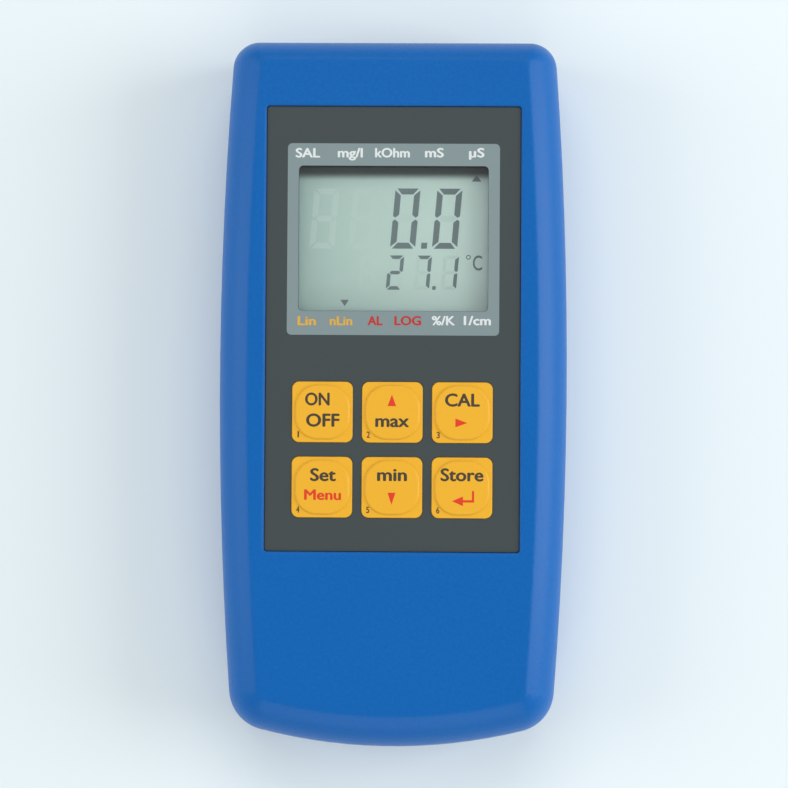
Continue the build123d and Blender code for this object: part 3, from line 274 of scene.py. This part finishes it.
for name, colour, gloss, grain, speckle, clouding, depth, metal, members in (
    ("board_green", (38, 92, 58), 0.35, 900.0, 0.2, 0.2, 0.02, 0.0, ["circuit_board"]),
    ("chip_black", (34, 34, 36), 0.5, 4000.0, 0.1, 0.05, 0.01, 0.0, [
        "controller_chip", "amplifier_chips", "buzzer", "probe_socket", "interface_jack",
        "power_socket", "battery_snap", "lead_minus",
    ]),
    ("frame_ivory", (225, 222, 208), 0.45, 2500.0, 0.06, 0.04, 0.02, 0.0, [
        "display_frame", "keypad_connector",
    ]),
    ("rubber_grey", (70, 72, 76), 0.7, 3000.0, 0.1, 0.05, 0.02, 0.0, ["contact_strips"]),
    ("layer_amber", (196, 150, 80), 0.35, 1500.0, 0.08, 0.06, 0.01, 0.0, [
        "keypad_spacer", "keypad_circuit",
    ]),
    ("can_silver", (205, 207, 210), 0.3, 1800.0, 0.08, 0.05, 0.01, 1.0, [
        "board_capacitors", "quartz_crystal", "probe_shield", "power_pin", "battery_terminals",
    ]),
    ("contact_gold", (214, 176, 96), 0.28, 1800.0, 0.06, 0.05, 0.01, 1.0, ["probe_contacts"]),
    ("battery_jacket", (40, 42, 48), 0.3, 1200.0, 0.06, 0.06, 0.01, 0.0, ["battery"]),
    ("lead_red", (180, 32, 28), 0.45, 2500.0, 0.06, 0.04, 0.02, 0.0, ["lead_plus"]),
    ("screw_steel", (168, 170, 174), 0.32, 2200.0, 0.1, 0.08, 0.01, 1.0, [
        "case_screws", "board_screws", "clip_pin",
    ]),
    ("dome_steel", (196, 198, 200), 0.22, 2200.0, 0.06, 0.05, 0.01, 1.0, [
        node for node in nodes if node.startswith("dome_")
    ]),
):
    material = grained(name, tone(*colour), gloss, grain, speckle, clouding, depth, metal=metal)
    for member in members:
        dress(member, material)


# Display: a liquid crystal cell behind a clear pane. The cell is grey-green, with painted light that
# makes it lighter to the right and a painted shadow under the window's upper edge. It shows two lines
# of slanted seven-segment figures; segments that are off show as a faint ghost. Places are in
# millimetres round the window's middle.
window_low, window_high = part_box("display_pane")
window_middle = (window_low + window_high) / 2
cell_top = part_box("display_glass")[1].z
window_width, window_length = 37.6, 28.8
# Painted shadow: the cell darkens from the first distance below the window's upper edge, fully at the
# second, in mm.
painted_shadow_from, painted_shadow_to = 2.7, 0.9
# Painted light: the cell's tone runs from a darker left to a lighter right.
cell_shaded_left_tone, cell_lit_right_tone = tone(167, 196, 187), tone(200, 225, 217)

cell_material = grained(
    "cell_green", cell_shaded_left_tone, gloss=0.35, grain=3500.0, speckle=0.02, clouding=0.03, depth=0.003
)
cell_group = next(n for n in cell_material.node_tree.nodes if n.type == "GROUP")
cell_place = add_node(cell_material, "ShaderNodeTexCoord")
cell_split = add_node(cell_material, "ShaderNodeSeparateXYZ")
# Painted light: ramp from the window's left to its right edge, mixing the two cell tones.
cell_light_ramp = add_node(cell_material, "ShaderNodeMapRange")
cell_light_ramp.inputs["From Min"].default_value = window_low.x
cell_light_ramp.inputs["From Max"].default_value = window_high.x
cell_light_mix = add_node(cell_material, "ShaderNodeMix", data_type="RGBA")
cell_light_mix.inputs["A"].default_value = cell_shaded_left_tone
cell_light_mix.inputs["B"].default_value = cell_lit_right_tone
window_edge = window_length / 2
# Painted shadow: the cell turns to this dark tone under the window's upper edge, where the film's edge
# shades it.
cell_painted_shadow_ramp = add_node(cell_material, "ShaderNodeMapRange", interpolation_type="SMOOTHSTEP")
cell_painted_shadow_ramp.inputs["From Min"].default_value = window_middle.y + (window_edge - painted_shadow_from) * MM
cell_painted_shadow_ramp.inputs["From Max"].default_value = window_middle.y + (window_edge - painted_shadow_to) * MM
cell_painted_shadow_mix = add_node(cell_material, "ShaderNodeMix", data_type="RGBA")
cell_painted_shadow_mix.inputs["B"].default_value = tone(58, 68, 68)
cell_join = cell_material.node_tree.links.new
cell_join(cell_place.outputs["Object"], cell_split.inputs[0])
cell_join(cell_split.outputs["X"], cell_light_ramp.inputs["Value"])
cell_join(cell_light_ramp.outputs["Result"], cell_light_mix.inputs["Factor"])
cell_join(cell_split.outputs["Y"], cell_painted_shadow_ramp.inputs["Value"])
cell_join(cell_painted_shadow_ramp.outputs["Result"], cell_painted_shadow_mix.inputs["Factor"])
cell_join(cell_light_mix.outputs["Result"], cell_painted_shadow_mix.inputs["A"])
cell_join(cell_painted_shadow_mix.outputs["Result"], cell_group.inputs["Colour"])
dress("display_glass", cell_material)

segment_dark = grained(
    "segment_dark", tone(100, 118, 119),
    gloss=0.45, grain=3500.0, speckle=0.03, clouding=0.03, depth=0.002,
)
segment_ghost = grained(
    "segment_ghost", tone(184, 209, 201),
    gloss=0.4, grain=3500.0, speckle=0.02, clouding=0.03, depth=0.002,
)
print_height = 0.012 * MM


def raise_faces(shape, faces):
    """Turn flat faces into a closed layer of the print's height."""
    raised = bmesh.ops.extrude_face_region(shape, geom=faces)["geom"]
    tops = [part for part in raised if isinstance(part, bmesh.types.BMVert)]
    bmesh.ops.translate(shape, verts=tops, vec=(0, 0, print_height))


def printed(shape, corners, centre, low):
    """Closed print over a polygon in millimetres round a centre."""
    verts = [shape.verts.new((centre.x + x * MM, centre.y + y * MM, low)) for x, y in corners]
    raise_faces(shape, [shape.faces.new(verts)])


def print_piece(name, shape, material):
    """Piece from a bmesh of prints, with its faces turned outwards."""
    bmesh.ops.recalc_face_normals(shape, faces=shape.faces)
    return new_piece(name, shape, material)


def figure_segments(width, height, stroke):
    """Outlines of the seven segments in a cell that starts at its lower left corner."""
    gap = stroke * 0.14
    slope = stroke * 0.3
    half = height / 2
    inner = width - stroke
    upper = [
        (width, height - gap * 2.2), (width, half + gap + slope), (width - stroke * 0.4, half + gap),
        (inner, half + gap + stroke * 0.5), (inner, height - stroke - gap * 1.2),
    ]
    lid = [
        (gap * 2.2, height), (width - gap * 2.2, height), (inner - gap * 1.2, height - stroke),
        (stroke + gap * 1.2, height - stroke),
    ]
    bar = [
        (stroke * 0.5 + gap, half), (stroke + gap, half + stroke / 2),
        (inner - gap, half + stroke / 2), (width - stroke * 0.5 - gap, half),
        (inner - gap, half - stroke / 2), (stroke + gap, half - stroke / 2),
    ]

    def across(points):
        return [(width - x, y) for x, y in points]

    def down(points):
        return [(x, height - y) for x, y in points]

    return {
        "a": lid, "b": upper, "c": down(upper), "d": down(lid), "e": across(down(upper)),
        "f": across(upper), "g": bar,
    }


slant = math.tan(math.radians(5))
big_cell = {"width": 5.02, "height": 12.05, "stroke": 1.2}
small_cell = {"width": 3.1, "height": 6.86, "stroke": 0.72}


def figure(shape, segments, left, base, cell):
    """Some of a figure's seven segments, slanted, from the lower left corner of its cell."""
    outlines = figure_segments(**cell)
    for segment in segments:
        corners = [(left + x + y * slant, base + y) for x, y in outlines[segment]]
        printed(shape, corners, window_middle, cell_top)


figures = bmesh.new()
for segments, left, base, cell in (
    ("abcdef", -0.72, -1.78, big_cell),
    ("abcdef", 7.65, -1.78, big_cell),
    ("abged", -1.53, -10.0, small_cell),
    ("abc", 4.02, -10.0, small_cell),
    ("bc", 9.4, -9.96, small_cell),
):
    figure(figures, segments, left, base, cell)
for corners in (
    [(5.47, -1.77), (6.64, -1.77), (6.74, -0.57), (5.57, -0.57)],
    [(7.72, -9.97), (8.43, -9.97), (8.49, -9.25), (7.78, -9.25)],
    [(15.56, 11.71), (17.45, 11.71), (16.5, 13.12)],
    [(-10.56, -12.05), (-9.71, -13.36), (-8.85, -12.05)],
):
    printed(figures, corners, window_middle, cell_top)
display_figures = print_piece("display_figures", figures, segment_dark)
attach(display_figures, "root")

ghosts = bmesh.new()
for segments, left, base, cell in (
    ("abcdefg", -16.9, -1.85, big_cell),
    ("abcdefg", -9.1, -1.85, big_cell),
    ("g", -0.72, -1.78, big_cell),
    ("g", 7.65, -1.78, big_cell),
    ("abcdefg", -7.0, -10.0, small_cell),
    ("fc", -1.53, -10.0, small_cell),
    ("defg", 4.02, -10.0, small_cell),
    ("adefg", 9.4, -9.96, small_cell),
):
    figure(ghosts, segments, left, base, cell)
display_ghosts = print_piece("display_ghosts", ghosts, segment_ghost)
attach(display_ghosts, "root")

letter_extrude = 0.05
layer_step = 0.02
bold_layers = ((-1, 0), (1, 0), (0, -0.7), (0, 0.7), (0, 0))


def words_mesh(words, weight=0.0):
    """Words in the built-in face, made bold by layers set a little aside and above each other."""
    curve = bpy.data.curves.new("words", "FONT")
    curve.body = words
    curve.extrude = letter_extrude
    curve.resolution_u = 4
    holder = bpy.data.objects.new("words", curve)
    bpy.context.collection.objects.link(holder)
    bpy.context.view_layer.update()
    evaluated = holder.evaluated_get(bpy.context.evaluated_depsgraph_get())
    mesh = bpy.data.meshes.new_from_object(evaluated)
    bpy.data.objects.remove(holder)
    if not weight:
        return mesh
    shape = bmesh.new()
    for layer, (across, up) in enumerate(bold_layers):
        start = len(shape.verts)
        shape.from_mesh(mesh)
        shape.verts.ensure_lookup_table()
        bmesh.ops.translate(
            shape, verts=shape.verts[start:], vec=(across * weight, up * weight, layer * layer_step)
        )
    shape.to_mesh(mesh)
    shape.free()
    return mesh


capital = max(v.co.y for v in words_mesh("H").vertices)


def lettering(name, words, place, size, centre, low, material, weight):
    """Printed words: middle and base line round a centre, ink width and capital height, in mm."""
    mesh = words_mesh(words, weight)
    ink_x = [v.co.x for v in mesh.vertices]
    stretch = size[0] * MM / (max(ink_x) - min(ink_x))
    rise = size[1] * MM / capital
    middle = (max(ink_x) + min(ink_x)) / 2
    mesh.transform(
        Matrix.Translation((
            centre.x + place[0] * MM, centre.y + place[1] * MM, low + print_height / 2
        ))
        @ Matrix.Diagonal((stretch, rise, print_height / (2 * letter_extrude), 1))
        @ Matrix.Translation((-middle, 0, 0))
    )
    mesh.materials.clear()
    mesh.materials.append(material)
    piece = bpy.data.objects.new(name, mesh)
    bpy.context.collection.objects.link(piece)
    return piece


display_unit = lettering(
    "display_unit", "C", (16.76, -6.03), (1.88, 2.9), window_middle, cell_top, segment_dark,
    weight=0.012,
)
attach(display_unit, "root")

degree_place = (14.95, -3.45)
degree_radii = (0.48, 0.29)
degree = bmesh.new()
for radius in degree_radii:
    bmesh.ops.create_circle(degree, cap_ends=False, segments=20, radius=radius * MM)
bmesh.ops.bridge_loops(degree, edges=degree.edges)
raise_faces(degree, list(degree.faces))
bmesh.ops.translate(degree, verts=degree.verts, vec=(
    window_middle.x + degree_place[0] * MM, window_middle.y + degree_place[1] * MM, cell_top
))
display_degree = print_piece("display_degree", degree, segment_dark)
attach(display_degree, "root")


# Clear pane: acrylic, bonded under the film over the cell. It lets all light through to the cell and
# gives only a faint reflection.
pane_clear = bpy.data.materials.new("pane_clear")
pane_clear.use_nodes = True
pane_shader = pane_clear.node_tree.nodes["Principled BSDF"]
pane_shader.inputs["Transmission Weight"].default_value = 1.0
pane_shader.inputs["IOR"].default_value = 1.49
pane_shader.inputs["Roughness"].default_value = 0.02
pane_out = pane_clear.node_tree.nodes["Material Output"]
pane_mix = add_node(pane_clear, "ShaderNodeMixShader")
pane_path = add_node(pane_clear, "ShaderNodeLightPath")
pane_through = add_node(pane_clear, "ShaderNodeBsdfTransparent")
pane_join = pane_clear.node_tree.links.new
pane_join(pane_path.outputs["Is Shadow Ray"], pane_mix.inputs[0])
pane_join(pane_shader.outputs[0], pane_mix.inputs[1])
pane_join(pane_through.outputs[0], pane_mix.inputs[2])
pane_join(pane_mix.outputs[0], pane_out.inputs["Surface"])
dress("display_pane", pane_clear)


# Front film: polyester, printed dark grey on its back with a lighter field round the window, and a fine
# matt texture on its face. It lies in a pocket of the front shell. The field carries a row of units
# above the window and a row of modes and settings below it.
film_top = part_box("panel_film")[1].z
film_grey = grained(
    "film_grey", tone(64, 73, 75),
    gloss=0.5, grain=3200.0, speckle=0.05, clouding=0.03, depth=0.006, sheen=0.3,
)
dress("panel_film", film_grey)

field_width, field_length, field_corner = 42.1, 38.1, 0.9
field_drop = 0.17
field_clearance = 0.1


def rounded_plate(shape, middle, width, length):
    """Flat face with the field's rounded corners, in millimetres round a middle in metres."""
    corners = bmesh.ops.create_grid(shape, x_segments=1, y_segments=1, size=0.5)["verts"]
    bmesh.ops.transform(
        shape, verts=corners,
        matrix=Matrix.Translation(middle) @ Matrix.Diagonal((width * MM, length * MM, 1, 1)),
    )
    bmesh.ops.bevel(
        shape, geom=corners, offset=field_corner * MM, affect="VERTICES", segments=6, profile=0.5,
        material=-1,
    )


field_grey = grained(
    "field_grey", tone(130, 147, 150),
    gloss=0.5, grain=3200.0, speckle=0.05, clouding=0.03, depth=0.006, sheen=0.3,
)
field = bmesh.new()
rounded_plate(
    field, (window_middle.x, window_middle.y - field_drop * MM, film_top), field_width, field_length
)
rounded_plate(
    field, (window_middle.x, window_middle.y, film_top),
    window_width + field_clearance, window_length + field_clearance,
)
bmesh.ops.delete(field, geom=list(field.faces), context="FACES_ONLY")
bmesh.ops.bridge_loops(field, edges=field.edges)
raise_faces(field, list(field.faces))
display_field = print_piece("display_field", field, field_grey)
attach(display_field, "root")

ink_white, ink_orange, ink_red = (
    grained(
        name, tone(*colour), gloss=0.5, grain=3200.0, speckle=0.04, clouding=0.02, depth=0.004
    )
    for name, colour in (
        ("ink_white", (222, 229, 229)), ("ink_orange", (222, 172, 60)), ("ink_red", (190, 40, 30)),
    )
)
for name, words, place, size, ink in (
    ("unit_salinity", "SAL", (-17.09, 16.09), (4.9, 1.77), ink_white),
    ("unit_mg_per_l", "mg/l", (-8.66, 16.13), (5.0, 1.77), ink_white),
    ("unit_kilo_ohm", "kOhm", (-0.29, 16.16), (6.94, 1.77), ink_white),
    ("unit_milli_s", "mS", (8.04, 16.2), (3.76, 1.77), ink_white),
    ("unit_micro_s", "µS", (16.44, 16.23), (3.1, 1.77), ink_white),
    ("mark_linear", "Lin", (-17.09, -17.28), (3.66, 1.72), ink_orange),
    ("mark_non_linear", "nLin", (-10.3, -17.25), (4.5, 1.72), ink_orange),
    ("mark_alarm", "AL", (-3.54, -17.21), (2.96, 1.72), ink_red),
    ("mark_log", "LOG", (2.95, -17.18), (5.3, 1.72), ink_red),
    ("unit_percent_per_k", "%/K", (9.99, -17.14), (4.61, 1.72), ink_white),
    ("unit_per_cm", "1/cm", (16.72, -17.1), (5.4, 1.72), ink_white),
):
    label = lettering(
        name, words, place, size, window_middle, film_top + print_height, ink, weight=0.034
    )
    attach(label, "root")


# Keys: six yellow caps of hard plastic with a raised crown, each printed with its function in the
# middle and its number on the border. The print rides on its own key.
key_yellow = grained(
    "key_yellow", tone(240, 180, 44),
    gloss=0.42, grain=1800.0, speckle=0.05, clouding=0.03, depth=0.01, edge=0.3, sheen=0.35,
)
ink_key, ink_key_red = (
    grained(
        name, tone(*colour), gloss=0.45, grain=2500.0, speckle=0.05, clouding=0.02, depth=0.004
    )
    for name, colour in (("ink_key", (66, 58, 46)), ("ink_key_red", (226, 56, 24)))
)
crown_rise = 0.36 * MM
number_place, number_height = (-4.75, -5.05), 1.2
one_width, number_width = 0.3, 0.66

key_prints = {
    "on_off": ([
        ("ON", (-1.0, 1.34), (4.87, 2.4), ink_key), ("OFF", (0.1, -2.85), (6.63, 2.45), ink_key),
    ], []),
    "max": ([("max", (0.0, -2.85), (6.71, 2.4), ink_key)], [
        [(-0.94, 1.22), (0.75, 1.22), (-0.1, 3.5)],
    ]),
    "cal": ([("CAL", (0.0, 1.28), (6.9, 2.43), ink_key)], [
        [(-1.37, -2.89), (0.99, -2.03), (-1.37, -1.16)],
    ]),
    "set": ([
        ("Set", (0.23, 1.26), (5.13, 2.4), ink_key),
        ("Menu", (0.16, -2.48), (7.3, 1.98), ink_key_red),
    ], []),
    "min": ([("min", (0.02, 1.35), (5.91, 2.4), ink_key)], [
        [(-0.85, -1.02), (-0.07, -3.4), (0.72, -1.02)],
    ]),
    "store": ([("Store", (0.0, 1.39), (8.5, 2.4), ink_key)], [
        [(-1.95, -2.62), (0.2, -3.57), (0.2, -1.67)],
        [(0.2, -2.86), (2.4, -2.86), (2.4, -0.57), (1.98, -0.57), (1.98, -2.4), (0.2, -2.4)],
    ]),
}
for number, (key, (lines, arrow)) in enumerate(key_prints.items(), 1):
    key_low, key_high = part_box(f"key_{key}")
    key_middle = (key_low + key_high) / 2
    dress(f"key_{key}", key_yellow)
    body = f"{key}_key"
    for line, (words, place, size, ink) in enumerate(lines, 1):
        label = lettering(
            f"key_{key}_word_{line}", words, place, size, key_middle, key_high.z, ink, weight=0.03
        )
        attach(label, body)
    digit = lettering(
        f"key_{key}_number", str(number), number_place,
        (one_width if number == 1 else number_width, number_height),
        key_middle, key_high.z - crown_rise, ink_key, weight=0.02,
    )
    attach(digit, body)
    if arrow:
        mark = bmesh.new()
        for corners in arrow:
            printed(mark, corners, key_middle, key_high.z)
        mark_piece = print_piece(f"key_{key}_arrow", mark, ink_key_red)
        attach(mark_piece, body)
